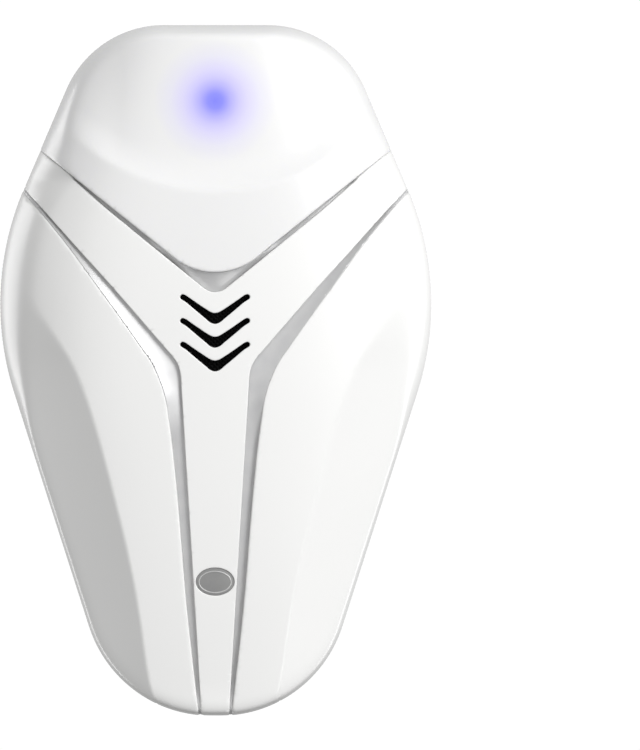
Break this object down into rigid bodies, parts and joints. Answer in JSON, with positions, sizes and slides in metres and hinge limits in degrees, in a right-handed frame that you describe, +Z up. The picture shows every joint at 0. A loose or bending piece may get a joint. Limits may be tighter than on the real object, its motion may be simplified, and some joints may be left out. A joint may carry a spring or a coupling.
{
  "type": "ultrasonic pest repeller",
  "caption": "Plug-in ultrasonic pest repeller: tapered shield-shaped housing with a Y-shaped front panel, chevron sound slots, a glowing lamp cap and flat mains blades behind.",
  "frame": {"origin": "centre of the plug on the outlet face, midway between the two blades", "axes": "+Y along the blades, into the outlet; +Z up; +X to the right seen from the front, so the decorated front looks along -Y"},
  "size_m": [0.065, 0.0464, 0.104],
  "materials": {
    "white_abs": "glossy white moulded ABS",
    "white_panel": "satin white moulded ABS",
    "milky_cap": "glossy milky cap that lets the lamp's light through",
    "plated_trim": "satin silver plated plastic",
    "grey_inlay": "satin grey inlay",
    "black_mesh": "fine black dust mesh",
    "plug_plastic": "fine matt white flame-retardant plastic",
    "plated_brass": "nickel plated brass with light wear",
    "tinned_steel": "tinned",
    "brown_pvc": "brown insulation",
    "blue_pvc": "blue insulation",
    "red_pvc": "red insulation",
    "black_pvc": "black insulation",
    "board_laminate": "green solder mask on glass laminate",
    "green_lacquer": "lacquered",
    "blue_lacquer": "lacquered",
    "yellow_case": "moulded case",
    "black_epoxy": "moulded epoxy",
    "capacitor_sleeve": "shrink sleeve",
    "ferrite": "sintered ferrite",
    "copper_winding": "enamelled copper",
    "tan_ceramic": "ceramic",
    "lamp_epoxy": "clear lens with a blue die",
    "white_nylon": "moulded nylon",
    "black_nylon": "moulded nylon",
    "cone_aluminium": "thin drawn cone",
    "piezo_brass": "brass disc",
    "black_foam": "closed-cell foam",
    "screw_steel": "zinc plated"
  },
  "bodies": {
    "root": {"front_cover": "white_abs", "rear_cover": "white_abs", "lamp_cap": "milky_cap", "spine_panel": "white_panel", "groove_trim": "plated_trim", "badge": "grey_inlay", "dust_mesh": "black_mesh", "plug_base": "plug_plastic", "blade_left": "plated_brass", "blade_right": "plated_brass", "blade_tags": "tinned_steel", "live_wire": "brown_pvc", "neutral_wire": "blue_pvc", "main_board": "board_laminate", "fuse_resistor": "green_lacquer", "varistor": "blue_lacquer", "mains_capacitor": "yellow_case", "bridge_rectifier": "black_epoxy", "bulk_capacitor": "capacitor_sleeve", "choke_core": "ferrite", "choke_winding": "copper_winding", "control_chip": "black_epoxy", "drive_transistors": "black_epoxy", "chip_resistors": "black_epoxy", "chip_capacitors": "tan_ceramic", "led": "lamp_epoxy", "led_spacer": "white_nylon", "led_tube": "white_nylon", "transducer_housing": "black_nylon", "transducer_cone": "cone_aluminium", "piezo_disc": "piezo_brass", "transducer_gasket": "black_foam", "clamp_ring": "white_nylon", "clamp_screws": "screw_steel", "transducer_lead_left": "red_pvc", "transducer_lead_right": "black_pvc", "board_screws": "screw_steel", "cover_screws": "screw_steel"}
  },
  "joints": []
}
